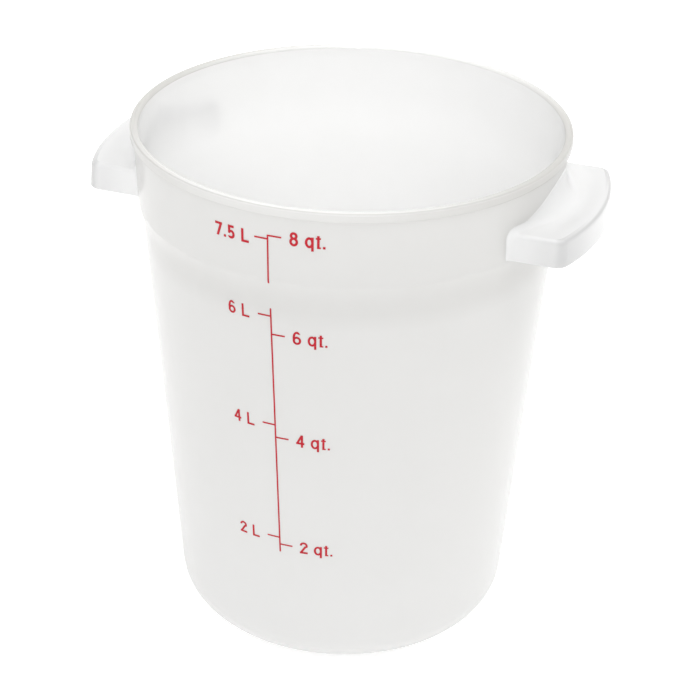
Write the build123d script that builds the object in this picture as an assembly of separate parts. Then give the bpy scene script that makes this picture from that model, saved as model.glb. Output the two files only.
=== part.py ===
from build123d import *
import os
from math import atan2, degrees, sqrt

# A round translucent tub for proofing dough, with an ear handle on each side and a printed
# quart and litre scale on the front. Millimetres, +Z up, origin at the centre of the foot.
# The handles lie along X and the scale faces -Y.

# Tub: heights down the wall
tub_height = 277.3
lip_height = 5.5
collar_height = 34.6
shoulder_height = 7.7
foot_recess = 0.8
floor_thickness = 2.3

# Tub: radii out from the axis
base_radius = 88.2
shoulder_step = 2.15
collar_radius = 109.6
collar_taper = 1.35
lip_overhang = 1.93
wall_thickness = 2.3
foot_ring_width = 5.1
foot_slope_run = 1.6

# Tub: rounding of its profile
base_round = 19.5
shoulder_hollow_round = 48.0
collar_round = 9.0
lip_under_rise = 0.8
lip_hollow_round = 0.8
lip_under_round = 0.7
lip_outer_round = 1.4
lip_inner_round = 1.2
foot_edge_round = 0.8

# Ear handles
handle_projection = 22.8
handle_half_width = 47.8
handle_arc_radius = 128.0
handle_corner_round = 6.5
handle_drop = 19.0
handle_skirt_height = 14.0
handle_skirt_flare = 1.0
handle_plate_thickness = 2.2
handle_skirt_thickness = 2.2
handle_lip_height = 1.4
handle_lip_width = 2.6
handle_edge_round = 0.7
handle_root_inset = 30.0

# Hollow rise where the top of a handle runs up into the collar
rise_height = 14.9
rise_width = 9.0
rise_arch_radius = 40.0

# Printed scale: one upright line on the collar and one on the body, with ticks on both sides
ink_thickness = 0.15
scale_line_width = 0.75
scale_lean_share = 0.00682
scale_turn_degrees = -1.2
tick_width = 0.8
tick_length = 6.4
line_gap_under_collar = 1.3
line_gap_under_shoulder = 8.2
line_tail = 4.5

# Printed figures: quarts to the right of the line, litres to its left, both bolder on the collar
quart_cap_height = 7.3
quart_stroke = 1.08
top_quart_stroke = 1.2
quart_figure_start = 10.7
quart_figure_drop = 3.6
litre_cap_height = 7.0
litre_stroke = 1.02
top_litre_stroke = 1.22
litre_figure_start = 11.5
litre_figure_drop = 3.6
top_litre_figure_start = 9.7
top_litre_figure_drop = 4.3

# Shapes of the figures, as shares of their cap height
figure_width_share = 0.57
letter_gap_share = 0.13
quart_word_gap_share = 0.44
litre_word_gap_share = 0.52
small_letter_share = 0.77
descender_share = 0.22
t_width_share = 0.33
t_bar_share = 0.7
t_height_share = 0.91
four_bar_share = 0.24
four_stem_share = 0.84
waist_share = 0.54
upper_width_share = 0.9
six_bowl_share = 0.62
hook_cut_share = 0.8
two_bowl_share = 0.6
two_turn_share = 0.27
five_bowl_share = 0.65
five_cut_share = 0.19
five_side_share = 0.1
seven_foot_share = 0.32

# Where each mark lies, as shares of the height of the collar or of the wall under the shoulder
collar_mark_shares = {"8 qt.": 0.6965, "7.5 L": 0.643}
body_mark_shares = {"6 L": 0.9455, "6 qt.": 0.9015, "4 L": 0.6712, "4 qt.": 0.639, "2 L": 0.3651, "2 qt.": 0.3466}

# Worked out from the sizes above
lip_low = tub_height - lip_height
collar_low = lip_low - collar_height
shoulder_low = collar_low - shoulder_height
floor_top = foot_recess + floor_thickness
collar_low_radius = collar_radius - collar_taper
shoulder_radius = collar_low_radius - shoulder_step
lip_radius = collar_radius + lip_overhang
foot_ring_radius = base_radius - base_round - foot_ring_width
wall_slope = (shoulder_radius - base_radius) / shoulder_low
floor_edge_radius = base_radius + wall_slope * floor_top - wall_thickness

handle_top = lip_low - handle_drop
handle_plate_top = handle_top - handle_lip_height
handle_plate_low = handle_plate_top - handle_plate_thickness
handle_low = handle_top - handle_skirt_height
handle_reach = collar_radius + handle_projection
handle_bow_middle = handle_reach - handle_arc_radius
handle_root_x = collar_radius - handle_root_inset


def outer_points(grow):
    """Corners of the outer wall from the foot to the rim, pushed out by grow."""
    return [
        (base_radius + grow, 0),
        (shoulder_radius + grow, shoulder_low),
        (collar_low_radius + grow, collar_low),
        (collar_radius + grow, lip_low),
        (lip_radius + grow, lip_low + lip_under_rise),
        (lip_radius + grow, tub_height),
    ]


outer_rounds = [base_round, shoulder_hollow_round, collar_round, lip_hollow_round, lip_under_round]


def turned(profile):
    """Solid of revolution about the tub's axis of a closed profile drawn in X and Z."""
    return revolve(make_face(Plane.XZ * profile), Axis.Z)


def tub_solid():
    """The whole moulded tub: floor on a foot ring, tapered wall, shoulder, collar and lip."""
    foot = [(0, foot_recess), (foot_ring_radius - foot_slope_run, foot_recess), (foot_ring_radius, 0)]
    inner = [
        (collar_radius - wall_thickness, tub_height),
        (collar_radius - wall_thickness, lip_low),
        (collar_low_radius - wall_thickness, collar_low),
        (shoulder_radius - wall_thickness, shoulder_low),
        (floor_edge_radius, floor_top),
        (0, floor_top),
    ]
    rounds = [foot_edge_round, foot_edge_round] + outer_rounds + [lip_outer_round, lip_inner_round, 0]
    rounds += [collar_round - wall_thickness, shoulder_hollow_round + wall_thickness, base_round - wall_thickness]
    section = FilletPolyline(foot + outer_points(0) + inner, radius=rounds)
    return turned(section + Line((0, floor_top), (0, foot_recess)))


def envelope(grow):
    """The tub's outside as one full body, pushed out by grow, for cutting what fits on the wall."""
    wall = FilletPolyline([(0, 0)] + outer_points(grow) + [(0, tub_height)], radius=outer_rounds + [0])
    return turned(wall + Line((0, tub_height), (0, 0)))


def handle_plan(inset):
    """Top view of the right handle, drawn in by inset: an arc outside and two square ends."""
    half = handle_half_width - inset
    arc = handle_arc_radius - inset
    end_x = handle_bow_middle + sqrt(arc**2 - half**2)
    sides = Polyline((end_x, -half), (handle_root_x, -half), (handle_root_x, half), (end_x, half))
    bow = ThreePointArc((end_x, -half), (handle_reach - inset, 0), (end_x, half))
    plan = make_face(sides + bow)
    corners = plan.vertices().sort_by(Axis.X)[-2:]
    return fillet(corners, handle_corner_round - inset)


def flared(inset, low, high):
    """Body of the handle's plan between two heights, wider the further down it goes."""
    plans = []
    for height in (low, high):
        growth = handle_skirt_flare * (handle_top - height) / handle_skirt_height
        plans.append(Pos(0, 0, height) * handle_plan(inset - growth))
    return loft(plans, ruled=True)


def rise(thickness, floor):
    """The rise of the handle into the collar, its hollow face set back by thickness, down to floor."""
    top = handle_plate_top + rise_height
    foot_x = collar_radius + rise_width
    curve = EllipticalCenterArc((foot_x, top), rise_width + thickness, rise_height + thickness, start_angle=180)
    back = Polyline(curve @ 0, (handle_root_x, top), (handle_root_x, floor), (foot_x, floor), curve @ 1)
    arch = Cylinder(rise_arch_radius - thickness, handle_reach, align=(Align.CENTER, Align.CENTER, Align.MIN))
    return turned(curve + back) & (Pos(0, 0, top - rise_arch_radius) * Rot(0, 90, 0) * arch)


def handle_solid(tub_outside):
    """The right ear handle: a dished plate with a skirt, open below, that runs up into the collar."""
    ear = flared(0, handle_low, handle_top)
    rim = ear.edges().group_by(Axis.Z)[-1].sort_by(Axis.X)[-5:]
    ear = fillet(rim, handle_edge_round)
    ear -= flared(handle_lip_width, handle_plate_top, handle_top + handle_lip_height)
    ear += rise(0, handle_plate_low)
    ear -= flared(handle_skirt_thickness, handle_low - handle_skirt_height, handle_plate_low)
    ear -= rise(handle_plate_thickness, handle_low)
    return ear - tub_outside


def box_between(x0, y0, x1, y1):
    """Upright rectangle between two corners."""
    return Pos(x0, y0) * Rectangle(x1 - x0, y1 - y0, align=(Align.MIN, Align.MIN))


def stroke_between(x0, y0, x1, y1, stroke):
    """Straight pen stroke of even width from one point to another."""
    length = sqrt((x1 - x0) ** 2 + (y1 - y0) ** 2)
    slant = degrees(atan2(y1 - y0, x1 - x0))
    return Pos(x0, y0) * Rot(0, 0, slant) * Rectangle(length, stroke, align=(Align.MIN, Align.CENTER))


def bowl(left, low, width, height, stroke):
    """Oval ring standing on its lower left corner."""
    middle = Pos(left + width / 2, low + height / 2)
    return middle * (Ellipse(width / 2, height / 2) - Ellipse(width / 2 - stroke, height / 2 - stroke))


def figure_2(width, cap, stroke):
    """A hook, a slanted stroke and a foot bar."""
    high = cap * two_bowl_share
    turn = cap - high + high * two_turn_share
    hook = bowl(0, cap - high, width, high, stroke) - box_between(0, 0, width / 2, cap - high / 2)
    hook -= box_between(width / 2, 0, width, turn)
    slant = stroke_between(width - stroke, turn + stroke / 2, stroke / 2, stroke / 2, stroke)
    return hook + slant + box_between(0, 0, width, stroke)


def figure_4(width, cap, stroke):
    """A stem, a bar across it and a slanted stroke."""
    stem = width * four_stem_share
    bar = cap * four_bar_share
    slant = stroke_between(stroke / 2, bar + stroke / 2, stem - stroke / 2, cap, stroke) & box_between(0, 0, width, cap)
    return slant + box_between(stem - stroke, 0, stem, cap) + box_between(0, bar, width, bar + stroke)


def figure_5(width, cap, stroke):
    """A top bar, a short upright and an open bowl."""
    high = cap * five_bowl_share
    side = width * five_side_share
    round_part = bowl(0, 0, width, high, stroke) - box_between(0, cap * five_cut_share, width / 2, high - stroke)
    upright = box_between(side, high - stroke - stroke / 2, side + stroke, cap)
    return round_part + upright + box_between(side, cap - stroke, width - side, cap)


def figure_6(width, cap, stroke):
    """A closed bowl under a tall hook."""
    high = cap * six_bowl_share
    hook = bowl(0, 0, width, cap, stroke) - box_between(width / 2, 0, width, cap * hook_cut_share)
    hook -= box_between(0, 0, width / 2, high / 2)
    return bowl(0, 0, width, high, stroke) + hook


def figure_7(width, cap, stroke):
    """A top bar and a slanted stroke."""
    foot = width * seven_foot_share
    slant = stroke_between(foot, 0, width - stroke / 2, cap - stroke / 2, stroke) & box_between(0, 0, width, cap)
    return slant + box_between(0, cap - stroke, width, cap)


def figure_8(width, cap, stroke):
    """Two bowls, the upper one smaller, that share one stroke."""
    low = (cap + stroke) * waist_share
    high = cap + stroke - low
    small = width * upper_width_share
    return bowl(0, 0, width, low, stroke) + bowl((width - small) / 2, cap - high, small, high, stroke)


def letter_l(width, cap, stroke):
    """A capital L."""
    return box_between(0, 0, stroke, cap) + box_between(0, 0, width, stroke)


def letter_q(width, cap, stroke):
    """A small q: a bowl with a stem that goes below the line."""
    high = cap * small_letter_share
    return bowl(0, 0, width, high, stroke) + box_between(width - stroke, -cap * descender_share, width, high)


def letter_t(width, cap, stroke):
    """A small t: a stem with a bar and a short foot."""
    slim = cap * t_width_share
    left = (slim - stroke) / 2
    high = cap * small_letter_share
    bar = box_between(0, high - stroke * t_bar_share, slim, high)
    foot = box_between(left, 0, slim, stroke * t_bar_share)
    return box_between(left, 0, left + stroke, cap * t_height_share) + bar + foot


def full_stop(width, cap, stroke):
    """A square full stop."""
    return box_between(0, 0, stroke, stroke)


glyphs = {
    "2": figure_2,
    "4": figure_4,
    "5": figure_5,
    "6": figure_6,
    "7": figure_7,
    "8": figure_8,
    "L": letter_l,
    "q": letter_q,
    "t": letter_t,
    ".": full_stop,
}


def label_glyphs(label, cap, stroke, word_gap_share):
    """Each sign of a label with the place of its left edge, and the label's whole length."""
    signs = []
    left = 0
    for sign in label:
        if sign == " ":
            left += (word_gap_share - letter_gap_share) * cap
            continue
        sketch = glyphs[sign](cap * figure_width_share, cap, stroke)
        width = sketch.bounding_box().max.X
        signs.append((sketch, left, width))
        left += width + letter_gap_share * cap
    return signs, left - letter_gap_share * cap


def wall_radius(height):
    """Outer radius of the wall at a height, without the rounding at its corners."""
    points = outer_points(0)
    for (low_radius, low), (high_radius, high) in zip(points, points[1:]):
        if height <= high:
            break
    return low_radius + (high_radius - low_radius) * (height - low) / (high - low)


def inked(sketch, outside, grown):
    """Ink of an even thickness on the front wall, in the shape of a sketch seen from the front."""
    return Rot(0, 0, scale_turn_degrees) * ((extrude(Plane.XZ * sketch, lip_radius) & grown) - outside)


def mark_height(label):
    """Height of the mark with this label."""
    if label in collar_mark_shares:
        return collar_low + collar_mark_shares[label] * collar_height
    return shoulder_low * body_mark_shares[label]


collar_line_ends = (collar_low - line_gap_under_collar, mark_height("8 qt.") + tick_width / 2)
body_line_ends = (mark_height("2 qt.") - tick_width / 2 - line_tail, shoulder_low - line_gap_under_shoulder)


def line_place(height):
    """Sideways place of the printed line, which leans a little on the body."""
    return scale_lean_share * max(body_line_ends[1] - height, 0)


def line_sketch(ends):
    """The printed line between two heights, seen from the front."""
    low, high = ends
    half = scale_line_width / 2
    corners = [
        (line_place(low) - half, low),
        (line_place(low) + half, low),
        (line_place(high) + half, high),
        (line_place(high) - half, high),
    ]
    return make_face(Polyline(corners, close=True))


def mark_solids(label, outside, grown):
    """The tick and the figures of one mark, each a solid of its own."""
    height = mark_height(label)
    place = line_place(height)
    on_collar = label in collar_mark_shares
    line = line_sketch(collar_line_ends if on_collar else body_line_ends)
    in_quarts = label.endswith("qt.")
    side = 1 if in_quarts else -1
    reach = place + side * (scale_line_width / 2 + tick_length)
    tick = box_between(min(place, reach), height - tick_width / 2, max(place, reach), height + tick_width / 2)
    solids = [inked(tick - line, outside, grown)]
    if in_quarts:
        stroke = top_quart_stroke if on_collar else quart_stroke
        signs, length = label_glyphs(label, quart_cap_height, stroke, quart_word_gap_share)
        start, drop = quart_figure_start, quart_figure_drop
    else:
        stroke = top_litre_stroke if on_collar else litre_stroke
        signs, length = label_glyphs(label, litre_cap_height, stroke, litre_word_gap_share)
        start, drop = litre_figure_start, litre_figure_drop
        if on_collar:
            start, drop = top_litre_figure_start, top_litre_figure_drop
    first = place + (start if in_quarts else -start - length)
    for sketch, left, width in signs:
        turn = degrees((first + left + width / 2) / wall_radius(height))
        solids.append(Rot(0, 0, turn) * inked(Pos(-width / 2, height - drop) * sketch, outside, grown))
    return solids


def node_name(label):
    """Name of the node that holds the mark with this label."""
    amount, unit = label.split()
    return "mark_" + amount.replace(".", "_") + ("_quarts" if unit == "qt." else "_litres")


def scale_nodes(outside):
    """Every printed piece of the scale by the name of its node."""
    grown = envelope(ink_thickness)
    nodes = {
        "scale_line_on_collar": [inked(line_sketch(collar_line_ends), outside, grown)],
        "scale_line_on_body": [inked(line_sketch(body_line_ends), outside, grown)],
    }
    for label in list(collar_mark_shares) + list(body_mark_shares):
        nodes[node_name(label)] = mark_solids(label, outside, grown)
    return nodes


def write_part(name, solids):
    """Writes one node's solids to its STEP file."""
    whole = [solid for shape in solids for solid in shape.solids()]
    export_step(whole[0] if len(whole) == 1 else Compound(children=whole), f"parts/{name}.step")


def main():
    """Builds every piece and writes its file."""
    os.makedirs("parts", exist_ok=True)
    outside = envelope(0)
    right_handle = handle_solid(outside)
    write_part("tub", [tub_solid()])
    write_part("right_handle", [right_handle])
    write_part("left_handle", [Rot(0, 0, 180) * right_handle])
    for name, solids in scale_nodes(outside).items():
        write_part(name, solids)


main()
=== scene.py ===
"""Dresses the dough proofing tub: a milky moulded tub with two ear handles and a red printed scale."""
import logging
import math
from dataclasses import dataclass
from enum import Enum

import bpy
import numpy as np
from mathutils import Matrix, Vector


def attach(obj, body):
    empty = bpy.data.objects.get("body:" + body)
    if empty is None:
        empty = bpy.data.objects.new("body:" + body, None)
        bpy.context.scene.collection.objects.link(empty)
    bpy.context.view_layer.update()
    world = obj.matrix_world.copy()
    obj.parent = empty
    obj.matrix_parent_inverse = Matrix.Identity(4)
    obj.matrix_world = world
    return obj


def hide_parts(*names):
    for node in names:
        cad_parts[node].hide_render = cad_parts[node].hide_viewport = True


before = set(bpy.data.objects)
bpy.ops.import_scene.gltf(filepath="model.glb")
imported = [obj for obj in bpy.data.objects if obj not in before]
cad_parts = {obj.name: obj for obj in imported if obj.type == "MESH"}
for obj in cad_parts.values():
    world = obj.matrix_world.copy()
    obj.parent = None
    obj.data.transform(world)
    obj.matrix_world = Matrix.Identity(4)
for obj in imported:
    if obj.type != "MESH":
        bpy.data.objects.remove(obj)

logging.basicConfig(level=logging.INFO, format="%(message)s")
LOG = logging.getLogger("proofing_tub")

MM = 0.001
ROOT_BODY = "root"
PAINTED_SHADE = "painted_shade_amount"
WHITE = (1.0, 1.0, 1.0, 1.0)
NOISE_LOW = 0.3
NOISE_HIGH = 0.7
SHORT_STEP = 0.00035
SHORT_STEP_SHARE = 0.12
TINY = 1e-9
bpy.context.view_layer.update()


class Slot(Enum):
    """The record's two finishes."""

    PLASTIC = "translucent_plastic"
    INK = "red_ink"


class Side(Enum):
    """Which way an ear handle points, as the sign of X."""

    RIGHT = 1
    LEFT = -1


# Materials


class NodeTree:
    """A short way to add shader nodes and join them."""

    def __init__(self, owner: bpy.types.Material | bpy.types.World) -> None:
        """Empties the owner's tree and keeps it.

        Args:
            owner: the material or the world whose nodes are to be made.
        """
        owner.use_nodes = True
        self.tree = owner.node_tree
        self.tree.nodes.clear()

    def add(self, kind: str, **sockets: object) -> bpy.types.Node:
        """Adds one node.

        Args:
            kind: Blender's name of the node's type.
            sockets: values by the socket's name with spaces as underscores; a socket makes a link.

        Returns:
            The new node.
        """
        node = self.tree.nodes.new(kind)
        for name, value in sockets.items():
            self.put(node, name.replace("_", " "), value)
        return node

    def put(self, node: bpy.types.Node, name: str | int, value: object) -> None:
        """Sets or links one input.

        Args:
            node: the node that has the input.
            name: the input's name or number.
            value: a value, or an output socket to link from.
        """
        if isinstance(value, bpy.types.NodeSocket):
            self.tree.links.new(value, node.inputs[name])
        else:
            node.inputs[name].default_value = value

    def pair(self, kind: str, first: object, second: object, operation: str = "") -> bpy.types.Node:
        """Adds a node whose first two inputs share a name.

        Args:
            kind: Blender's name of the node's type.
            first: the first input's value or link.
            second: the second input's value or link.
            operation: what the node does, where it has a choice.

        Returns:
            The new node.
        """
        node = self.add(kind)
        if operation:
            node.operation = operation
        self.put(node, 0, first)
        self.put(node, 1, second)
        return node

    def noise(self, place: bpy.types.NodeSocket, scale: float, detail: float) -> bpy.types.NodeSocket:
        """Adds a noise pattern.

        Args:
            place: the coordinates that it follows.
            scale: cells per metre.
            detail: how many finer layers are added.

        Returns:
            The pattern's value, from 0 to 1 and mostly near 0.5.
        """
        return self.add("ShaderNodeTexNoise", Vector=place, Scale=scale, Detail=detail).outputs["Fac"]

    def between(self, value: bpy.types.NodeSocket, low: float, high: float) -> bpy.types.NodeSocket:
        """Carries the middle part of a noise pattern onto a range.

        Args:
            value: the pattern's value.
            low: what NOISE_LOW becomes.
            high: what NOISE_HIGH becomes.

        Returns:
            The new value.
        """
        node = self.add("ShaderNodeMapRange", Value=value, From_Min=NOISE_LOW, From_Max=NOISE_HIGH,
                        To_Min=low, To_Max=high)
        return node.outputs["Result"]

    def blend(self, share: object, first: object, second: object) -> bpy.types.NodeSocket:
        """Mixes two colours.

        Args:
            share: the share of the second colour.
            first: the first colour.
            second: the second colour.

        Returns:
            The mixed colour.
        """
        node = self.add("ShaderNodeMix")
        node.data_type = "RGBA"
        for index, value in ((0, share), (6, first), (7, second)):
            self.put(node, index, value)
        return node.outputs[2]

    def bump(self, height: bpy.types.NodeSocket, strength: float, distance: float,
             normal: bpy.types.NodeSocket | None = None) -> bpy.types.NodeSocket:
        """Adds a fine relief.

        Args:
            height: the pattern that stands out.
            strength: how much of it shows.
            distance: how far it stands out, in metres.
            normal: a relief that lies under this one.

        Returns:
            The direction that the relief faces.
        """
        node = self.add("ShaderNodeBump", Strength=strength, Distance=distance, Height=height)
        if normal is not None:
            self.put(node, "Normal", normal)
        return node.outputs["Normal"]

    def mixed(self, share: object, first: bpy.types.NodeSocket,
              second: bpy.types.NodeSocket) -> bpy.types.NodeSocket:
        """Mixes two shaders.

        Args:
            share: the share of the second shader.
            first: the first shader.
            second: the second shader.

        Returns:
            The mixed shader.
        """
        node = self.add("ShaderNodeMixShader", Fac=share)
        self.put(node, 1, first)
        self.put(node, 2, second)
        return node.outputs[0]

    def shown(self) -> bpy.types.NodeSocket:
        """Tells rays that show a thing from rays that only gather its light.

        Returns:
            1 for a ray from the camera, in a reflection or through the plastic, and 0 for any other.
        """
        path = self.add("ShaderNodeLightPath")
        seen = self.pair("ShaderNodeMath", path.outputs["Is Camera Ray"], path.outputs["Is Glossy Ray"],
                         "MAXIMUM")
        through = path.outputs["Is Transmission Ray"]
        return self.pair("ShaderNodeMath", seen.outputs[0], through, "MAXIMUM").outputs[0]

    def finish(self, shader: bpy.types.NodeSocket, output: str = "ShaderNodeOutputMaterial") -> None:
        """Joins the last shader to the output.

        Args:
            shader: the last shader.
            output: Blender's name of the output's type.
        """
        self.add(output, Surface=shader)


@dataclass(frozen=True)
class MilkyPlastic:
    """Milky moulded polypropylene with a satin skin.

    A share of the light passes through it. Its colour clouds a little, its skin has a fine moulded grain,
    and long faint draw lines run up the wall. A painted shade, stored on the mesh, darkens its colour and the
    light that passes towards the shaded colours.
    """

    name: str
    clear: tuple[float, float, float, float] = (0.925, 0.925, 0.923, 1.0)
    cloudy: tuple[float, float, float, float] = (0.913, 0.913, 0.909, 1.0)
    painted_shade_colour: tuple[float, float, float, float] = (0.520, 0.512, 0.490, 1.0)
    passed: tuple[float, float, float, float] = (0.950, 0.950, 0.949, 1.0)
    passed_painted_shade: tuple[float, float, float, float] = (0.820, 0.816, 0.804, 1.0)
    milk: float = 0.30
    roughness_low: float = 0.14
    roughness_high: float = 0.22
    refraction: float = 1.49
    cloud_scale: float = 38.0
    grain_scale: float = 2600.0
    grain_strength: float = 0.12
    grain_height: float = 0.00004
    line_scale: float = 420.0
    line_squash: float = 0.06
    line_strength: float = 0.10
    line_height: float = 0.00010

    def make(self) -> bpy.types.Material:
        """Builds the material.

        Returns:
            The plastic.
        """
        material = bpy.data.materials.new(self.name)
        nodes = NodeTree(material)
        place = nodes.add("ShaderNodeTexCoord").outputs["Object"]
        clouds = nodes.noise(place, self.cloud_scale, detail=3.0)
        stretched = nodes.add("ShaderNodeMapping", Vector=place, Scale=(1.0, 1.0, self.line_squash))
        lines = nodes.noise(stretched.outputs["Vector"], self.line_scale, detail=2.0)
        grain = nodes.noise(place, self.grain_scale, detail=2.0)
        # Painted shade: an attribute on the mesh darkens the colour and the light that passes.
        shade_attribute = nodes.add("ShaderNodeAttribute")
        shade_attribute.attribute_name = PAINTED_SHADE
        painted_shade = shade_attribute.outputs["Fac"]
        even = nodes.blend(nodes.between(clouds, 0.0, 1.0), self.clear, self.cloudy)
        colour = nodes.blend(painted_shade, even, self.painted_shade_colour)
        light_through = nodes.blend(painted_shade, self.passed, self.passed_painted_shade)
        rough = nodes.between(lines, self.roughness_low, self.roughness_high)
        fine = nodes.bump(grain, self.grain_strength, self.grain_height)
        drawn = nodes.bump(lines, self.line_strength, self.line_height, fine)
        skin = nodes.add("ShaderNodeBsdfPrincipled", Base_Color=colour, Roughness=rough, IOR=self.refraction,
                         Normal=drawn)
        through = nodes.add("ShaderNodeBsdfTranslucent", Color=light_through, Normal=drawn)
        nodes.finish(nodes.mixed(self.milk, skin.outputs[0], through.outputs[0]))
        return material


@dataclass(frozen=True)
class ScreenInk:
    """Dark red screen-printed ink: matte, a little uneven in cover, with a faint grain from the mesh."""

    name: str
    full: tuple[float, float, float, float] = (0.40, 0.006, 0.016, 1.0)
    thin: tuple[float, float, float, float] = (0.51, 0.015, 0.031, 1.0)
    roughness_low: float = 0.48
    roughness_high: float = 0.62
    gloss: float = 0.22
    cover_scale: float = 900.0
    mesh_scale: float = 5200.0
    mesh_strength: float = 0.25
    mesh_height: float = 0.00003

    def make(self) -> bpy.types.Material:
        """Builds the material.

        Returns:
            The ink.
        """
        material = bpy.data.materials.new(self.name)
        nodes = NodeTree(material)
        place = nodes.add("ShaderNodeTexCoord").outputs["Object"]
        cover = nodes.noise(place, self.cover_scale, detail=3.0)
        mesh_marks = nodes.noise(place, self.mesh_scale, detail=1.0)
        colour = nodes.blend(nodes.between(cover, 0.0, 1.0), self.full, self.thin)
        rough = nodes.between(cover, self.roughness_low, self.roughness_high)
        relief = nodes.bump(mesh_marks, self.mesh_strength, self.mesh_height)
        skin = nodes.add("ShaderNodeBsdfPrincipled", Base_Color=colour, Roughness=rough,
                         Specular_IOR_Level=self.gloss, Normal=relief)
        nodes.finish(skin.outputs["BSDF"])
        return material


# Shapes


def smooth(share: np.ndarray) -> np.ndarray:
    """Eases a share at both of its ends: three times its square less twice its cube.

    Args:
        share: values from 0 to 1.

    Returns:
        The eased values, from 0 to 1.
    """
    return share * share * (3.0 - 2.0 * share)


def falling(value: np.ndarray, middle: float, width: float) -> np.ndarray:
    """Falls softly from 1 to 0 round a middle value.

    The share is one over one plus e to the power of the distance past the middle over the width.

    Args:
        value: the values.
        middle: where it is a half.
        width: how softly it falls.

    Returns:
        The shares, from 0 to 1.
    """
    return 1.0 / (1.0 + np.exp((value - middle) / width))


def bell(path: np.ndarray, centre: tuple[float, float], width: float) -> np.ndarray:
    """A round bell over the points of a section.

    The distance to the centre is divided by the width and squared, and the height is e to the power of minus
    that.

    Args:
        path: the section's points.
        centre: where the bell is 1.
        width: the distance at which it has fallen to 1/e.

    Returns:
        The bell's height at each point.
    """
    return np.exp(-((path - np.array(centre)) ** 2).sum(axis=1) / width**2)


def rounded_path(corners: np.ndarray, radii: np.ndarray, steps: int, spacing: float) -> np.ndarray:
    """Rounds each corner of a path with an arc and divides its straight runs.

    An arc touches both runs of its corner: its centre lies on the bisector, at the radius over the sine of
    half the corner's angle, and its points turn evenly from one touching point to the other. A straight run
    is cut into equal steps, with one very short step at each end so that the shading beside an arc stays
    flat.

    Args:
        corners: the path's points, one row each.
        radii: one radius for each point but the first and the last.
        steps: how many steps an arc has.
        spacing: the longest step on a straight run.

    Returns:
        The points of the rounded path.
    """
    before = corners[:-2] - corners[1:-1]
    after = corners[2:] - corners[1:-1]
    before /= np.linalg.norm(before, axis=1, keepdims=True)
    after /= np.linalg.norm(after, axis=1, keepdims=True)
    half = np.arccos(np.clip((before * after).sum(axis=1), -1.0, 1.0)) / 2.0
    middle = before + after
    middle /= np.linalg.norm(middle, axis=1, keepdims=True)
    centre = corners[1:-1] + middle * (radii / np.sin(half))[:, None]
    touch = (radii / np.tan(half))[:, None]
    first = corners[1:-1] + before * touch - centre
    last = corners[1:-1] + after * touch - centre
    turn = (np.pi - 2.0 * half)[:, None]
    share = np.linspace(0.0, 1.0, steps + 1)[None, :]
    a = (np.sin((1.0 - share) * turn) / np.sin(turn))[:, :, None]
    b = (np.sin(share * turn) / np.sin(turn))[:, :, None]
    arcs = centre[:, None, :] + a * first[:, None, :] + b * last[:, None, :]
    starts = np.vstack([corners[:1], arcs[:, -1]])
    ends = np.vstack([arcs[:, 0], corners[-1:]])
    pieces: list[np.ndarray] = []
    for index, (start, end) in enumerate(zip(starts, ends)):
        length = float(np.linalg.norm(end - start))
        edge = min(SHORT_STEP_SHARE, SHORT_STEP / max(length, TINY))
        inner = np.linspace(edge, 1.0 - edge, max(int(math.ceil(length / spacing)), 1) + 1)
        places = np.concatenate([[0.0], inner, [1.0]])
        pieces.append(start + places[:, None] * (end - start))
        if index < len(arcs):
            pieces.append(arcs[index][1:-1])
    return np.vstack(pieces)


def turned_mesh(name: str, profile: np.ndarray, painted_shade: np.ndarray, side_painted_shades: np.ndarray,
                segments: int) -> bpy.types.Mesh:
    """Turns a profile about the Z axis into a closed skin.

    The profile runs from the axis, out and round, and back to the axis. A point at radius r and height z goes
    to (r cos a, r sin a, z) for evenly spaced angles a, and each end closes with a fan round one point. The
    painted shade there is the point's own, plus its side shade times the square of cos a.

    Args:
        name: the mesh's name.
        profile: radius and height of each point, in metres.
        painted_shade: how much painted shade darkens the plastic at each point.
        side_painted_shades: how much more painted shade it gets right at the handles.
        segments: how many steps go round.

    Returns:
        The mesh, with its faces pointing outwards.
    """
    angle = np.linspace(0.0, 2.0 * np.pi, segments, endpoint=False)
    radius = profile[1:-1, 0][:, None]
    height = np.repeat(profile[1:-1, 1][:, None], segments, axis=1)
    rings = np.stack([radius * np.cos(angle), radius * np.sin(angle), height], axis=2)
    poles = np.array([[0.0, 0.0, profile[0, 1]], [0.0, 0.0, profile[-1, 1]]])
    points = np.vstack([rings.reshape(-1, 3), poles])
    count = len(profile) - 2
    here = np.arange(segments)
    there = (here + 1) % segments
    low = (np.arange(count - 1) * segments)[:, None]
    high = low + segments
    quads = np.stack([low + here, low + there, high + there, high + here], axis=2).reshape(-1, 4)
    bottom = np.stack([np.full(segments, count * segments), there, here], axis=1)
    last = (count - 1) * segments
    top = np.stack([np.full(segments, count * segments + 1), last + here, last + there], axis=1)
    ring_shades = painted_shade[1:-1, None] + side_painted_shades[1:-1, None] * np.cos(angle) ** 2
    shades = np.concatenate([ring_shades.ravel(), painted_shade[:1], painted_shade[-1:]])
    return made_mesh(name, points, quads.tolist() + bottom.tolist() + top.tolist(), shades)


def made_mesh(name: str, points: np.ndarray, faces: list[list[int]],
              painted_shade: np.ndarray | None = None) -> bpy.types.Mesh:
    """Puts points and faces into a smooth-shaded mesh.

    Args:
        name: the mesh's name.
        points: one row of X, Y and Z for each vertex, in metres.
        faces: the vertex numbers of each face.
        painted_shade: how much painted shade darkens the plastic at each vertex, mostly from 0 to 1.

    Returns:
        The mesh.
    """
    mesh = bpy.data.meshes.new(name)
    mesh.from_pydata(points, [], faces)
    mesh.shade_smooth()
    if painted_shade is not None:
        mesh.attributes.new(PAINTED_SHADE, "FLOAT", "POINT").data.foreach_set("value", painted_shade.astype(np.float32))
    mesh.update()
    return mesh


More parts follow.
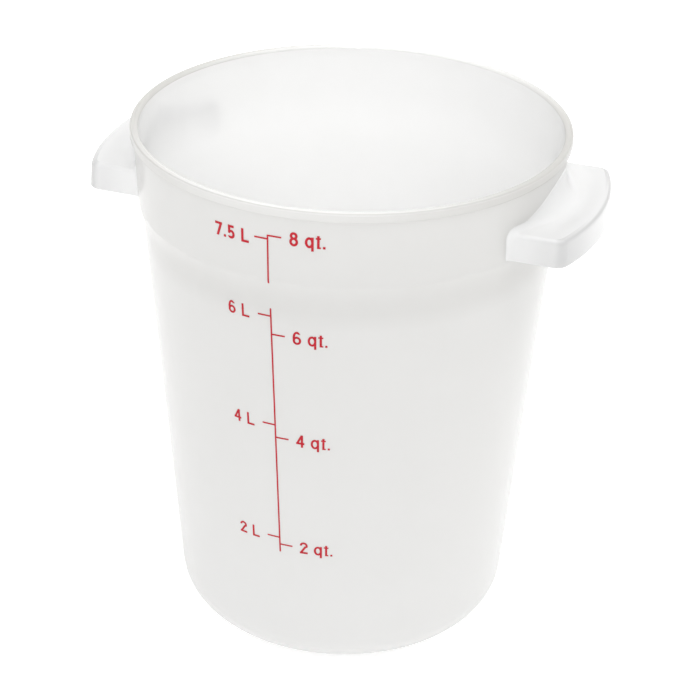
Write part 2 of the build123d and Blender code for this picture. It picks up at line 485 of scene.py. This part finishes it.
def linked_object(name: str, data: bpy.types.ID) -> bpy.types.Object:
    """Puts an object into the scene.

    Args:
        name: its name.
        data: its mesh, light or camera.

    Returns:
        The object.
    """
    piece = bpy.data.objects.new(name, data)
    bpy.context.scene.collection.objects.link(piece)
    return piece


def placed_piece(mesh: bpy.types.Mesh, material: bpy.types.Material, nodes: list[str]) -> bpy.types.Object:
    """Makes a piece of a mesh and ties it to the frame.

    Args:
        mesh: the finished mesh, in the frame's own place.
        material: its finish.
        nodes: the solids that the piece stands for.

    Returns:
        The piece.
    """
    mesh.materials.append(material)
    piece = linked_object(mesh.name, mesh)
    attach(piece, ROOT_BODY)
    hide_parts(*nodes)
    return piece


@dataclass
class Tub:
    """The moulded tub: foot ring, tapered wall, shoulder, collar and rim lip. Sizes in millimetres.

    The fields after the counts set the painted shade, mostly from 0 to 1, and where it lies.
    """

    height: float = 277.3
    lip_height: float = 5.5
    collar_height: float = 34.6
    shoulder_height: float = 7.7
    foot_recess: float = 0.8
    floor: float = 2.3
    wall: float = 2.3
    base_radius: float = 88.2
    shoulder_step: float = 2.15
    collar_radius: float = 109.6
    collar_taper: float = 1.35
    lip_overhang: float = 1.93
    lip_under_rise: float = 0.8
    foot_ring_radius: float = 63.6
    foot_slope: float = 1.6
    inner_spread: float = 5.8
    inner_low_share: float = 1.5
    foot_round: float = 0.8
    base_round: float = 19.5
    shoulder_hollow: float = 48.0
    collar_round: float = 9.0
    lip_hollow_round: float = 0.8
    lip_under_round: float = 0.7
    lip_outer_round: float = 1.4
    lip_inner_round: float = 1.8
    collar_inner_round: float = 0.6
    inner_round: float = 200.0
    inner_low_round_share: float = 1.7
    arc_steps: int = 8
    run_step: float = 3.2
    segments: int = 224
    # Painted shade on the outside by height: most at the shoulder and collar, less towards the foot.
    outside_heights: tuple[float, ...] = (
        0.0, 25.0, 62.0, 125.0, 212.0, 222.0, 229.0, 236.0, 240.0, 268.0, 271.0, 272.5, 276.0, 277.3,
    )
    outside_painted_shades: tuple[float, ...] = (
        0.23, 0.31, 0.37, 0.43, 0.48, 0.60, 0.59, 0.54, 0.52, 0.53, 0.58, 0.55, 0.52, 0.24,
    )
    # A painted dark line on the lip's outer edge.
    edge_painted_line: float = 0.85
    edge_line_inset: float = 0.4
    edge_line_width: float = 0.55
    # Painted shade on the lip's top, a little lighter at its inner edge.
    lip_painted_shade: float = 0.42
    lip_light_width: float = 1.6
    lip_light_share: float = 0.85
    # More painted shade beside the handles.
    wall_side_painted_shade: float = 0.06
    side_painted_shade: float = 0.12
    side_low: float = 222.0
    side_high: float = 232.0
    lip_side_painted_shade: float = 0.40
    lip_side_rise: float = 1.0
    top_side_painted_shade: float = 0.62

    @property
    def lip_low(self) -> float:
        """Height of the underside of the lip."""
        return self.height - self.lip_height

    @property
    def collar_low(self) -> float:
        """Height of the collar's lower edge."""
        return self.lip_low - self.collar_height

    def collar_at(self, height: np.ndarray) -> np.ndarray:
        """Outer radius of the collar at a height: it widens evenly from its lower edge to the lip.

        Args:
            height: heights in millimetres.

        Returns:
            The radii in millimetres.
        """
        return self.collar_radius - self.collar_taper * (self.lip_low - height) / self.collar_height

    def profile(self) -> np.ndarray:
        """The section of the tub, from the middle of the foot round the lip to the middle of the floor.

        Inside, the shoulder is one long soft bend that starts the inner spread above the collar's lower edge.

        Returns:
            Radius and height of each point, in millimetres.
        """
        collar_low_radius = self.collar_radius - self.collar_taper
        shoulder_radius = collar_low_radius - self.shoulder_step
        shoulder_low = self.collar_low - self.shoulder_height
        lip_radius = self.collar_radius + self.lip_overhang
        floor_top = self.foot_recess + self.floor
        slope = (shoulder_radius - self.base_radius) / shoulder_low
        floor_edge = self.base_radius + slope * floor_top - self.wall
        collar_slope = self.collar_taper / self.collar_height
        inner_high = collar_low_radius - self.wall + collar_slope * self.inner_spread
        inner_low = shoulder_radius - self.wall - slope * self.inner_low_share * self.inner_spread
        corners = np.array([
            (0.0, self.foot_recess),
            (self.foot_ring_radius - self.foot_slope, self.foot_recess),
            (self.foot_ring_radius, 0.0),
            (self.base_radius, 0.0),
            (shoulder_radius, shoulder_low),
            (collar_low_radius, self.collar_low),
            (self.collar_radius, self.lip_low),
            (lip_radius, self.lip_low + self.lip_under_rise),
            (lip_radius, self.height),
            (self.collar_radius - self.wall, self.height),
            (self.collar_radius - self.wall, self.lip_low),
            (inner_high, self.collar_low + self.inner_spread),
            (inner_low, shoulder_low - self.inner_low_share * self.inner_spread),
            (floor_edge, floor_top),
            (0.0, floor_top),
        ])
        radii = np.array([
            self.foot_round,
            self.foot_round,
            self.base_round,
            self.shoulder_hollow,
            self.collar_round,
            self.lip_hollow_round,
            self.lip_under_round,
            self.lip_outer_round,
            self.lip_inner_round,
            self.collar_inner_round,
            self.inner_round,
            self.inner_low_round_share * self.inner_round,
            self.base_round - self.wall,
        ])
        return rounded_path(corners, radii, self.arc_steps, self.run_step)

    def painted_shade(self, path: np.ndarray) -> tuple[np.ndarray, np.ndarray]:
        """The painted shade along the section, and how much more of it right at the handles.

        On the outside the painted shade follows the height. The lip's top and its inner round have the lip's
        own painted shade, a little less at the inner edge, and the rest of the inside has none. A narrow bell
        paints a dark line on the lip's outer edge. At the handles the outside gains painted shade by its
        height, and the lip's top gains most.

        Args:
            path: the section in millimetres.

        Returns:
            The painted shade at each point, from 0 to 1, and what it gains at the handles.
        """
        radius, height = path[:, 0], path[:, 1]
        corner = (self.collar_radius + self.lip_overhang - self.edge_line_inset,
                  self.height - self.edge_line_inset)
        # A painted dark line along the lip's outer edge.
        line = self.edge_painted_line * bell(path, corner, self.edge_line_width)
        outside = np.arange(len(path)) <= np.argmax(radius + height)
        outward = np.clip((radius - self.collar_radius + self.wall) / self.lip_light_width, 0.0, 1.0)
        on_top = height > self.height - self.lip_inner_round
        top = on_top * (self.lip_light_share + (1.0 - self.lip_light_share) * outward)
        wall = np.interp(height, self.outside_heights, self.outside_painted_shades) * outside
        # More painted shade towards the handles, most on the lip.
        places = [self.side_low, self.side_high, self.lip_low, self.lip_low + self.lip_side_rise]
        gains = [self.wall_side_painted_shade, self.side_painted_shade, self.side_painted_shade, self.lip_side_painted_shade]
        side_painted_shades = np.where(outside, np.interp(height, places, gains), self.top_side_painted_shade * top)
        return np.maximum(np.maximum(wall, self.lip_painted_shade * top), line), side_painted_shades

    def build(self, plastic: bpy.types.Material) -> bpy.types.Object:
        """Makes the tub's piece.

        Args:
            plastic: its finish.

        Returns:
            The piece.
        """
        path = self.profile()
        painted_shade, side_painted_shades = self.painted_shade(path)
        mesh = turned_mesh("milky_tub", path * MM, painted_shade, side_painted_shades, self.segments)
        return placed_piece(mesh, plastic, ["tub"])


@dataclass
class EarHandle:
    """An ear handle: a dished plate, a skirt round it and a hollow rise up into the collar.

    Sizes are in millimetres. The fields after the counts set the painted shade, from 0 to 1, and where it
    lies, with the directions that the skirt faces in degrees from straight out.
    """

    tub: Tub
    side: Side
    reach: float = 132.4
    half_width: float = 47.8
    arc_radius: float = 128.0
    corner_round: float = 6.5
    top: float = 252.8
    skirt_height: float = 14.0
    skirt_flare: float = 1.0
    dish_depth: float = 2.0
    dish_width: float = 12.0
    dish_run: float = 30.0
    edge_inset: float = 2.8
    edge_round: float = 2.4
    foot_round: float = 0.7
    plate: float = 1.8
    skirt: float = 2.2
    skirt_inside_margin: float = 0.9
    rise_height: float = 14.9
    rise_width: float = 9.5
    rise_half_span: float = 37.0
    rise_power: float = 1.2
    root_round: float = 3.4
    root_reach_share: float = 2.0
    foot_fade_share: float = 0.85
    embed: float = 1.0
    proud: float = 0.06
    corner_points: int = 12
    bow_points: int = 59
    root_columns: int = 18
    plate_columns: int = 16
    plate_crowding: float = 1.25
    arc_steps: int = 7
    run_step: float = 2.6
    # Painted shade on the handle: less at the root, more on the plate and the skirt, and a darker corner.
    root_painted_shade: float = 0.31
    plate_painted_shade: float = 0.68
    side_painted_shade: float = 0.52
    painted_shade_run: float = 18.0
    # A painted dark line along the bow's top edge.
    edge_painted_line: float = 0.48
    edge_line_inset: float = 0.7
    edge_line_width: float = 0.75
    bow_end: float = 42.0
    bow_end_width: float = 5.0
    corner_painted_shade: float = 0.30
    corner_start: float = 14.0
    corner_start_width: float = 3.0
    corner_end: float = 72.0
    corner_end_width: float = 6.0

    @property
    def plate_top(self) -> float:
        """Height of the middle of the dished plate."""
        return self.top - self.dish_depth

    @property
    def bow_x(self) -> float:
        """X of the centre of the bow's arc."""
        return self.reach - self.arc_radius

    def outline(self, inset: float) -> tuple[np.ndarray, np.ndarray]:
        """The outer side of the handle's plan, from its near corner to its far one.

        A corner turns with its own radius from square to the end to the bow's direction, and the bow is an
        arc about a centre on the handle's axis. The inset shortens both radii and leaves the centres.

        Args:
            inset: how far the outline is drawn in.

        Returns:
            The points and the outward directions, one row each.
        """
        corner_y = self.half_width - self.corner_round
        corner_x = self.bow_x + math.sqrt((self.arc_radius - self.corner_round) ** 2 - corner_y**2)
        bow_angle = math.atan2(corner_y, corner_x - self.bow_x)
        corner_turn = np.linspace(math.pi / 2.0, bow_angle, self.corner_points)
        bow_turn = np.linspace(bow_angle, -bow_angle, self.bow_points + 2)[1:-1]
        angle = -np.concatenate([corner_turn, bow_turn, -corner_turn[::-1]])
        out = np.stack([np.cos(angle), np.sin(angle)], axis=1)
        corner = np.ones(self.corner_points)
        on_corner = np.concatenate([-corner, np.zeros(self.bow_points), corner])
        centre = np.stack([np.where(on_corner == 0, self.bow_x, corner_x), corner_y * on_corner], axis=1)
        radius = np.where(on_corner == 0, self.arc_radius, self.corner_round) - inset
        return centre + out * radius[:, None], out

    def wall_x(self, y: np.ndarray, height: np.ndarray) -> np.ndarray:
        """Where the collar's face is, at a sideways place and a height.

        Args:
            y: sideways places.
            height: heights.

        Returns:
            The X of the collar's face.
        """
        return np.sqrt(self.tub.collar_at(height) ** 2 - y**2)

    def rise(self, y: np.ndarray) -> tuple[np.ndarray, np.ndarray]:
        """Height and width of the quarter ellipse in which the plate runs up into the collar.

        Both follow a bell of Y, a cosine to a power, from the root's plain round up to the full size in the
        middle.

        Args:
            y: sideways places.

        Returns:
            The heights and the widths.
        """
        aside = np.clip(np.abs(y) / self.rise_half_span, 0.0, 1.0)
        swell = np.cos(aside * math.pi / 2.0) ** self.rise_power
        height = self.root_round + (self.rise_height - self.root_round) * swell
        width = self.root_round + (self.rise_width - self.root_round) * swell
        return height, width

    def dish(self, x: np.ndarray, y: np.ndarray) -> np.ndarray:
        """How far the plate stands above its middle.

        It eases up to the edge, over the dish's width towards the bow and over the dish's run towards the
        ends.

        Args:
            x: places outwards.
            y: sideways places.

        Returns:
            The height gained, none in the middle and the dish's full height at the edge.
        """
        to_bow = self.arc_radius - np.hypot(x - self.bow_x, y)
        to_end = self.half_width - np.abs(y)
        out = np.clip((to_bow - self.edge_inset) / self.dish_width, 0.0, 1.0)
        along = np.clip((to_end - self.edge_inset) / self.dish_run, 0.0, 1.0)
        return self.dish_depth * (1.0 - smooth(out) * smooth(along))

    def upper(self) -> tuple[np.ndarray, np.ndarray, np.ndarray, np.ndarray]:
        """The upper face as a grid.

        Each row starts inside the collar's wall, comes out a hair's breadth in front of its face, runs down
        the quarter ellipse and goes out over the plate. The collar's lean is followed in full at the top of
        the ellipse and less down to the plate. The plate's columns crowd towards the edge.

        Returns:
            X, Y and Z of the grid, and the share of the root's round that is left at each column.
        """
        edge, _ = self.outline(self.edge_inset)
        y = edge[:, 1:]
        high, wide = self.rise(y)
        turn = np.linspace(0.0, math.pi / 2.0, self.root_columns)[None, :]
        start = self.wall_x(y, np.full_like(y, self.plate_top))
        even = np.linspace(0.0, 1.0, self.plate_columns + 1)[None, 1:]
        share = 1.0 - (1.0 - even) ** self.plate_crowding
        gap = np.hstack([
            np.full_like(y, -self.embed),
            self.proud + (wide - self.proud) * (1.0 - np.cos(turn)),
            wide + share * (edge[:, :1] - start - wide),
        ])
        left = np.hstack([np.ones((1, 1)), 1.0 - np.sin(turn), np.zeros((1, self.plate_columns))])
        lift = high * left
        wide_y = np.repeat(y, gap.shape[1], axis=1)
        shift = self.wall_x(wide_y, self.plate_top + lift) - start
        x = start + gap + shift * left
        z = self.plate_top + lift + self.dish(x, wide_y)
        return x, wide_y, z, np.repeat(left, len(y), axis=0)

    def lower(self, inset: float) -> tuple[np.ndarray, np.ndarray, np.ndarray]:
        """The face under the plate: flat, with a hollow in the rise at the plate's thickness.

        Args:
            inset: how far the skirt's inside is drawn in from the plan's outline.

        Returns:
            X, Y and Z of the grid.
        """
        edge, _ = self.outline(inset)
        y = edge[:, 1:]
        high, wide = self.rise(y)
        first = np.arccos((wide + self.embed) / (wide + self.plate))
        turn = first + np.linspace(0.0, 1.0, self.root_columns + 1)[None, :] * (math.pi / 2.0 - first)
        start = self.wall_x(y, np.full_like(y, self.plate_top))
        share = np.linspace(0.0, 1.0, self.plate_columns + 1)[None, 1:]
        gap = np.hstack([
            wide - (wide + self.plate) * np.cos(turn),
            wide + share * (edge[:, :1] - start - wide),
        ])
        z = np.hstack([
            self.plate_top + high - (high + self.plate) * np.sin(turn),
            np.full((len(y), self.plate_columns), self.plate_top - self.plate),
        ])
        return start + gap, np.repeat(y, gap.shape[1], axis=1), z

    def section(self) -> tuple[np.ndarray, np.ndarray]:
        """The skirt's section: out over the edge, down the skirt, round its foot and back up inside.

        The skirt's faces lean out by the flare over its height.

        Returns:
            The points, as distance outward from the upper face's edge and height, and their outward
            directions.
        """
        low = self.top - self.skirt_height
        under = self.plate_top - self.plate
        lean = self.skirt_flare / self.skirt_height
        inner = self.edge_inset - self.skirt
        corners = np.array([
            (0.0, self.top),
            (self.edge_inset, self.top),
            (self.edge_inset + self.skirt_flare, low),
            (inner + self.skirt_flare, low),
            (inner + lean * (self.top - under), under),
        ])
        radii = np.array([self.edge_round, self.foot_round, self.foot_round])
        path = rounded_path(corners, radii, self.arc_steps, self.run_step)
        along = np.gradient(path, axis=0)
        along /= np.linalg.norm(along, axis=1, keepdims=True)
        return path, np.stack([-along[:, 1], along[:, 0]], axis=1)

    def build(self, plastic: bpy.types.Material) -> bpy.types.Object:
        """Makes the handle's piece.

        The upper face and the face under the plate are two grids over the plan. The skirt's section is
        carried along their edge. Near the collar it grows outwards by what is left of the root's round, less
        towards its foot and not inside, and it leans with the collar's face. The root, inside the wall, is
        closed.

        Args:
            plastic: its finish.

        Returns:
            The piece.
        """
        path, faced = self.section()
        top_x, top_y, top_z, left = self.upper()
        low_x, low_y, low_z = self.lower(self.edge_inset - path[-1, 0])
        rows, columns = top_x.shape
        number = np.arange(rows * columns).reshape(rows, columns)
        loop = np.concatenate([number[0, :-1], number[:-1, -1], number[-1, ::-1]])
        _, out = self.outline(self.edge_inset)
        near = np.tile([0.0, -1.0], (columns - 1, 1))
        far = np.tile([0.0, 1.0], (columns, 1))
        direction = np.vstack([near, out[:-1], far])
        flat = np.stack([grid.ravel()[loop] for grid in (top_x, top_y, top_z, left)], axis=1)
        edge_x, edge_y, edge_z = flat[:, :1], flat[:, 1:2], flat[:, 2:3]
        grown = flat[:, 3:] * self.root_round
        inner = path[1:-1, 0] < path[-1, 0] + self.skirt_inside_margin
        down = np.clip((self.top - path[1:-1, 1]) / self.skirt_height, 0.0, 1.0)
        weight = 1.0 - self.foot_fade_share * down
        weight = np.where(inner & (path[1:-1, 1] < self.plate_top), 0.0, weight)
        push = path[None, 1:-1, 0] + grown * (faced[1:-1, 0] * weight)[None, :]
        level = path[None, 1:-1, 1] + grown * (faced[1:-1, 1] * weight)[None, :]
        ring_x = edge_x + direction[:, :1] * push
        ring_y = edge_y + direction[:, 1:] * push
        face_x = self.wall_x(edge_y, edge_z)
        close = 1.0 - np.clip((edge_x - face_x) / (self.root_reach_share * self.root_round), 0.0, 1.0)
        ring_x = ring_x + (self.wall_x(ring_y, level) - face_x) * smooth(close)
        points = np.vstack([
            np.stack([top_x, top_y, top_z], axis=2).reshape(-1, 3),
            np.stack([ring_x, ring_y, level], axis=2).reshape(-1, 3),
            np.stack([low_x, low_y, low_z], axis=2).reshape(-1, 3),
        ])
        ring_start = rows * columns
        low_start = ring_start + ring_x.size
        ring = ring_start + np.arange(ring_x.size).reshape(ring_x.shape)
        strip = np.hstack([loop[:, None], ring, loop[:, None] + low_start])
        faces = self.quads(number) + self.quads(number[:, ::-1] + low_start) + self.quads(strip)
        one, two = number[:-1, 0], number[1:, 0]
        root = np.stack([one, two, two + low_start, one + low_start], axis=1)
        faces += root.tolist() + [strip[0][::-1].tolist(), strip[-1].tolist()]
        # Painted shade: from the root's amount at the collar out to the plate's amount.
        outward = smooth(np.clip((top_x - self.wall_x(top_y, self.plate_top)) / self.painted_shade_run, 0.0, 1.0))
        shade = np.full(len(points), self.plate_painted_shade)
        shade[number] = self.root_painted_shade + (self.plate_painted_shade - self.root_painted_shade) * outward
        shade[ring] = self.skirt_painted_shade(path, faced, direction, outward.ravel()[loop][:, None])
        points[:, :2] *= self.side.value
        name = self.side.name.lower() + "_handle"
        mesh = made_mesh("moulded_" + name, points * MM, faces, shade)
        return placed_piece(mesh, plastic, [name])

    def skirt_painted_shade(self, path: np.ndarray, faced: np.ndarray, direction: np.ndarray,
                    outward: np.ndarray) -> np.ndarray:
        """The painted shade on the skirt.

        It has the root's painted shade at the wall. Further out it has the plate's painted shade where it
        faces up and its own elsewhere. Along the bow a narrow bell over the section adds a painted dark line
        on the edge, and between two directions faced the skirt's corner gets painted shade over its whole
        height.

        Args:
            path: the skirt's section.
            faced: its outward directions.
            direction: the outward direction at each place along the edge.
            outward: how far out from the wall each place along the edge is, from 0 to 1.

        Returns:
            The depth, one row for each place along the edge.
        """
        # A painted dark line along the bow's edge, and painted shade on the skirt's corner.
        corner = (self.edge_inset - self.edge_line_inset, self.top - self.edge_line_inset)
        line = self.edge_painted_line * bell(path[1:-1], corner, self.edge_line_width)
        facing = np.degrees(np.abs(np.arctan2(direction[:, 1], direction[:, 0])))
        on_bow = falling(facing, self.bow_end, self.bow_end_width)
        on_corner = (falling(-facing, -self.corner_start, self.corner_start_width)
                     * falling(facing, self.corner_end, self.corner_end_width))
        level = self.side_painted_shade + (self.plate_painted_shade - self.side_painted_shade) * np.clip(faced[1:-1, 1], 0.0, 1.0)
        added = np.maximum(line[None, :] * on_bow[:, None], self.corner_painted_shade * on_corner[:, None])
        return self.root_painted_shade + (level[None, :] - self.root_painted_shade) * outward + added

    @staticmethod
    def quads(grid: np.ndarray) -> list[list[int]]:
        """The faces of a grid of vertex numbers.

        Args:
            grid: the numbers, row by row.

        Returns:
            Four numbers for each cell.
        """
        cells = np.stack([grid[:-1, :-1], grid[:-1, 1:], grid[1:, 1:], grid[1:, :-1]], axis=2)
        return cells.reshape(-1, 4).tolist()


@dataclass
class PrintedScale:
    """The red print: the nodes keep their own shapes and get the ink."""

    prefixes: tuple[str, ...] = ("mark_", "scale_line_")

    def dress(self, ink: bpy.types.Material) -> list[str]:
        """Gives every printed node the ink.

        Args:
            ink: the finish.

        Returns:
            The names of the nodes.
        """
        names = sorted(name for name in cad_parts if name.startswith(self.prefixes))
        for name in names:
            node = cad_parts[name]
            for slot in node.material_slots:
                slot.material = ink
        return names


# The studio


@dataclass
class Studio:
    """White floor, soft light from all round and the camera of the photograph.

    Places and sizes are in metres, the sensor in millimetres, the focal length and the image in pixels,
    powers in watts and angles in radians.
    """

    azimuth: float = math.radians(19.0)
    camera_back: float = 0.91533
    camera_up: float = 0.65302
    yaw: float = 0.0021
    pitch: float = 0.5068
    roll: float = 0.0249
    focal_px: float = 1949.8
    image_px: float = 700.0
    sensor: float = 36.0
    clip_near: float = 0.05
    clip_far: float = 50.0
    world_low: float = 0.84
    world_high: float = 0.99
    world_turn: float = math.radians(30.0)
    floor_half: float = 6.0
    floor_paper: float = 0.80
    floor_glow: float = 0.42
    floor_seen: float = 0.45
    top_power: float = 22.0
    top_size: float = 1.8
    top_place: tuple[float, float, float] = (0.2, 0.05, 1.9)
    top_target: tuple[float, float, float] = (0.0, 0.0, 0.14)
    mouth_power: float = 28.0
    mouth_place: tuple[float, float, float] = (0.0, -1.05, 1.02)
    mouth_target: tuple[float, float, float] = (0.0, 0.024, 0.278)
    mouth_radius: float = 0.176
    mouth_squash: float = 0.475
    mouth_blend: float = 0.6
    mouth_softness: float = 0.05

    def camera(self) -> None:
        """Sets up the camera: it looks along yaw and pitch and is rolled about that line."""
        data = bpy.data.cameras.new("photo_camera")
        data.sensor_width = self.sensor
        data.lens = self.focal_px * self.sensor / self.image_px
        data.clip_start = self.clip_near
        data.clip_end = self.clip_far
        cosine = math.cos(self.pitch)
        ahead = Vector((math.sin(self.yaw) * cosine, math.cos(self.yaw) * cosine, -math.sin(self.pitch)))
        level = Vector((math.cos(self.yaw), -math.sin(self.yaw), 0.0))
        upright = level.cross(ahead)
        right = level * math.cos(self.roll) + upright * math.sin(self.roll)
        above = upright * math.cos(self.roll) - level * math.sin(self.roll)
        pose = Matrix((right, above, -ahead)).transposed().to_4x4()
        pose.translation = Vector((0.0, -self.camera_back, self.camera_up))
        camera = linked_object("photo_camera", data)
        camera.matrix_world = Matrix.Rotation(self.azimuth, 4, "Z") @ pose
        bpy.context.scene.camera = camera

    def world(self) -> None:
        """White surroundings: pure white where a ray shows them, and a little dimmer as light.

        As light they go from world_low to world_high with the cosine of the angle to one level direction.
        """
        world = bpy.data.worlds.new("white_room")
        bpy.context.scene.world = world
        nodes = NodeTree(world)
        axis = self.azimuth - self.world_turn
        around = nodes.add("ShaderNodeTexCoord").outputs["Generated"]
        direction = (-math.sin(axis), math.cos(axis), 0.0)
        ahead = nodes.pair("ShaderNodeVectorMath", around, direction, "DOT_PRODUCT")
        shade = nodes.add("ShaderNodeMapRange", Value=ahead.outputs["Value"], From_Min=-1.0, From_Max=1.0,
                          To_Min=self.world_low, To_Max=self.world_high)
        level = nodes.add("ShaderNodeMapRange", Value=nodes.shown(), To_Min=shade.outputs["Result"],
                          To_Max=1.0)
        light = nodes.add("ShaderNodeBackground", Color=WHITE, Strength=level.outputs["Result"])
        nodes.finish(light.outputs["Background"], "ShaderNodeOutputWorld")

    def floor(self) -> None:
        """A large white floor that looks pure white where it is lit and keeps the tub's soft shadow.

        It glows a little, with one strength where a ray shows it and another as light.
        """
        material = bpy.data.materials.new("white_floor")
        nodes = NodeTree(material)
        grey = self.floor_paper
        paper = nodes.add("ShaderNodeBsdfDiffuse", Color=(grey, grey, grey, 1.0)).outputs[0]
        seen = nodes.add("ShaderNodeEmission", Color=WHITE, Strength=self.floor_seen).outputs[0]
        lit = nodes.add("ShaderNodeEmission", Color=WHITE, Strength=self.floor_glow).outputs[0]
        bright = nodes.pair("ShaderNodeAddShader", paper, seen).outputs[0]
        lifted = nodes.pair("ShaderNodeAddShader", paper, lit).outputs[0]
        nodes.finish(nodes.mixed(nodes.shown(), lifted, bright))
        half = self.floor_half
        corners = np.array([(-half, -half, 0.0), (half, -half, 0.0), (half, half, 0.0), (-half, half, 0.0)])
        mesh = made_mesh("studio_floor", corners, [[0, 1, 2, 3]])
        mesh.materials.append(material)
        piece = linked_object("studio_floor", mesh)

    def hang(self, data: bpy.types.Light, place: Vector, target: Vector) -> bpy.types.Object:
        """Hangs one lamp and aims it.

        Args:
            data: the light.
            place: where it hangs.
            target: what it is aimed at.

        Returns:
            The lamp.
        """
        lamp = linked_object(data.name, data)
        lamp.location = place
        lamp.rotation_euler = (target - place).to_track_quat("-Z", "Y").to_euler()
        return lamp

    def top_light(self) -> None:
        """A large square soft box overhead."""
        data = bpy.data.lights.new("top_soft_box", "AREA")
        data.size = self.top_size
        data.energy = self.top_power
        self.hang(data, Vector(self.top_place), Vector(self.top_target))

    def mouth_light(self) -> None:
        """A soft oval spot from over the camera, through the mouth onto the back of the tub's inside."""
        data = bpy.data.lights.new("mouth_light", "SPOT")
        data.energy = self.mouth_power
        data.shadow_soft_size = self.mouth_softness
        data.spot_blend = self.mouth_blend
        turned = Matrix.Rotation(self.azimuth, 4, "Z")
        place = turned @ Vector(self.mouth_place)
        target = turned @ Vector(self.mouth_target)
        data.spot_size = 2.0 * math.atan(self.mouth_radius / (target - place).length)
        lamp = self.hang(data, place, target)
        lamp.scale = (1.0, self.mouth_squash, 1.0)

    def build(self) -> None:
        """Sets the whole studio up."""
        bpy.context.scene.view_settings.view_transform = "Standard"
        self.camera()
        self.world()
        self.floor()
        self.top_light()
        self.mouth_light()


def main() -> None:
    """Builds the pieces in order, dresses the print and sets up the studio."""
    tub = Tub()
    plastic = MilkyPlastic("milky_polypropylene").make()
    ear_plastic = MilkyPlastic("milky_ear_polypropylene", milk=0.10, painted_shade_colour=(0.520, 0.520, 0.520, 1.0)).make()
    LOG.info("piece %s", tub.build(plastic).name)
    for side in Side:
        LOG.info("piece %s", EarHandle(tub, side).build(ear_plastic).name)
    for name in PrintedScale().dress(ScreenInk("red_screen_ink").make()):
        LOG.info("printed node %s", name)
    Studio().build()


if __name__ == "__main__":
    main()
